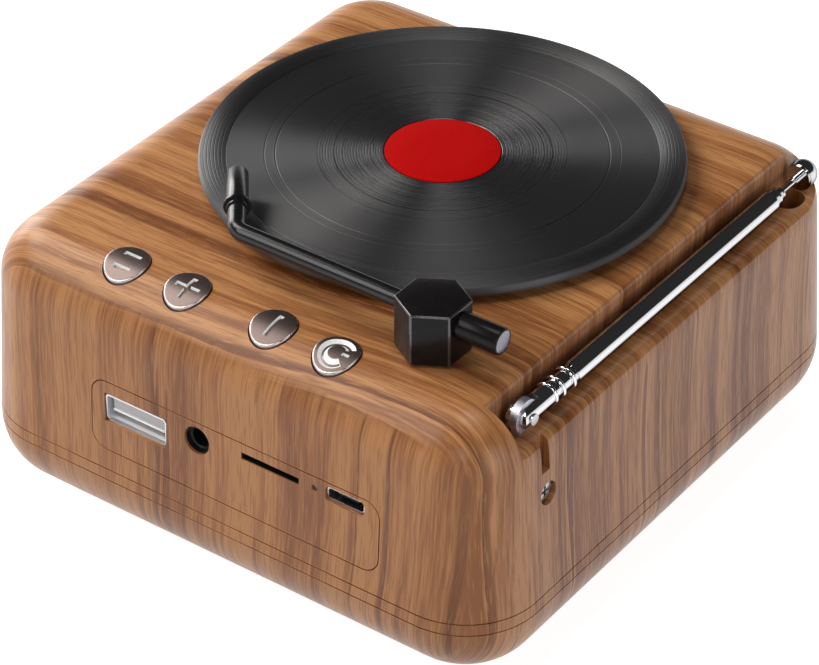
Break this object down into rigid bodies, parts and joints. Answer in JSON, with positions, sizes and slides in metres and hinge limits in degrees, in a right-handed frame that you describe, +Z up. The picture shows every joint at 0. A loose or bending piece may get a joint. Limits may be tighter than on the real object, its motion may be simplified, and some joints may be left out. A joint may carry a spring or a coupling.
{
  "type": "portable record player speaker",
  "caption": "Small wood-look wireless speaker shaped like a record player, with a turning disc, swinging tonearm, press keys, side sockets and a folding telescopic aerial.",
  "frame": {"origin": "on the table, under the middle of the case", "axes": "+X to the user's right, the socket side; +Y to the back, the aerial side; +Z up"},
  "size_m": [0.1132, 0.11, 0.0633],
  "materials": {
    "wood_grain": "satin, printed wood grain",
    "disc_black": "grooved gloss",
    "label_red": "matt",
    "arm_black": "high gloss",
    "key_bronze": "satin with bright rim",
    "chrome": "mirror",
    "steel": "satin",
    "brass": "satin",
    "nylon": "matt",
    "board_green": "satin",
    "chip_black": "matt",
    "socket_black": "satin",
    "foot_rubber": "matt",
    "light_clear": "clear",
    "cell_wrap": "satin film",
    "magnet_grey": "matt",
    "cone_paper": "matt pressed paper"
  },
  "bodies": {
    "case": {"top_shell": "wood_grain", "bottom_cover": "wood_grain", "socket_panel": "wood_grain", "feet": "foot_rubber", "case_screws": "steel", "spindle_bush": "brass", "motor": "steel", "motor_bracket": "steel", "motor_screws": "steel", "arm_bush": "brass", "key_switches": "chip_black", "key_board": "board_green", "key_board_screws": "steel", "main_board": "board_green", "board_chips": "chip_black", "board_screws": "steel", "usb_socket": "steel", "audio_socket": "socket_black", "card_socket": "steel", "power_socket": "steel", "status_light": "light_clear", "battery": "cell_wrap", "speaker_frame": "magnet_grey", "speaker_magnet": "magnet_grey", "speaker_pole": "steel", "speaker_screws": "steel", "aerial_bracket": "steel", "aerial_screw": "steel"},
    "turntable": {"record": "disc_black", "record_label": "label_red", "platter": "chip_black", "spindle": "steel", "spindle_clip": "steel", "drive_gear": "nylon"},
    "motor_rotor": {"motor_shaft": "steel", "motor_pinion": "brass"},
    "tonearm": {"arm_block": "arm_black", "arm_tube": "arm_black", "arm_head": "arm_black", "counterweight": "arm_black", "arm_pin": "steel", "arm_clip": "steel"},
    "key_1": {"key_1": "key_bronze"},
    "key_2": {"key_2": "key_bronze"},
    "key_3": {"key_3": "key_bronze"},
    "key_4": {"key_4": "key_bronze"},
    "speaker_diaphragm": {"speaker_cone": "cone_paper", "speaker_surround": "foot_rubber"},
    "aerial": {"aerial_fork": "chrome", "aerial_rivet": "steel", "aerial_tube": "chrome"},
    "aerial_stage_2": {"aerial_inner_tube": "chrome"},
    "aerial_stage_3": {"aerial_rod": "chrome"}
  },
  "joints": [
    {"name": "turntable_spin", "type": "hinge", "parent": "case", "child": "turntable", "pos_m": [-0.008, 0, 0.0546], "axis": [0, 0, 1], "continuous": true},
    {"name": "motor_spin", "type": "hinge", "parent": "case", "child": "motor_rotor", "pos_m": [-0.0265, 0, 0.044], "axis": [0, 0, 1], "continuous": true},
    {"name": "tonearm_swing", "type": "hinge", "parent": "case", "child": "tonearm", "pos_m": [0.0366, 0.03, 0.0603], "axis": [0, 0, 1], "range_deg": [-27, 8]},
    {"name": "key_1_press", "type": "slide", "parent": "case", "child": "key_1", "axis": [0, 0, -1], "range_m": [0, 0.0006], "stiffness_N_per_m": 1500, "springref_m": -0.0002},
    {"name": "key_2_press", "type": "slide", "parent": "case", "child": "key_2", "axis": [0, 0, -1], "range_m": [0, 0.0006], "stiffness_N_per_m": 1500, "springref_m": -0.0002},
    {"name": "key_3_press", "type": "slide", "parent": "case", "child": "key_3", "axis": [0, 0, -1], "range_m": [0, 0.0006], "stiffness_N_per_m": 1500, "springref_m": -0.0002},
    {"name": "key_4_press", "type": "slide", "parent": "case", "child": "key_4", "axis": [0, 0, -1], "range_m": [0, 0.0006], "stiffness_N_per_m": 1500, "springref_m": -0.0002},
    {"name": "speaker_travel", "type": "slide", "parent": "case", "child": "speaker_diaphragm", "axis": [0, 0, -1], "range_m": [-0.0002, 0.0002], "stiffness_N_per_m": 2000},
    {"name": "aerial_tilt", "type": "hinge", "parent": "case", "child": "aerial", "pos_m": [0.038, 0.0484, 0.0492], "axis": [0, 1, 0], "range_deg": [0, 90]},
    {"name": "aerial_extend_1", "type": "slide", "parent": "aerial", "child": "aerial_stage_2", "axis": [-1, 0, 0], "range_m": [0, 0.054]},
    {"name": "aerial_extend_2", "type": "slide", "parent": "aerial_stage_2", "child": "aerial_stage_3", "axis": [-1, 0, 0], "range_m": [0, 0.054]}
  ],
  "couplings": [
    {"joint": "motor_spin", "follows": "turntable_spin", "ratio": -3.6}
  ]
}
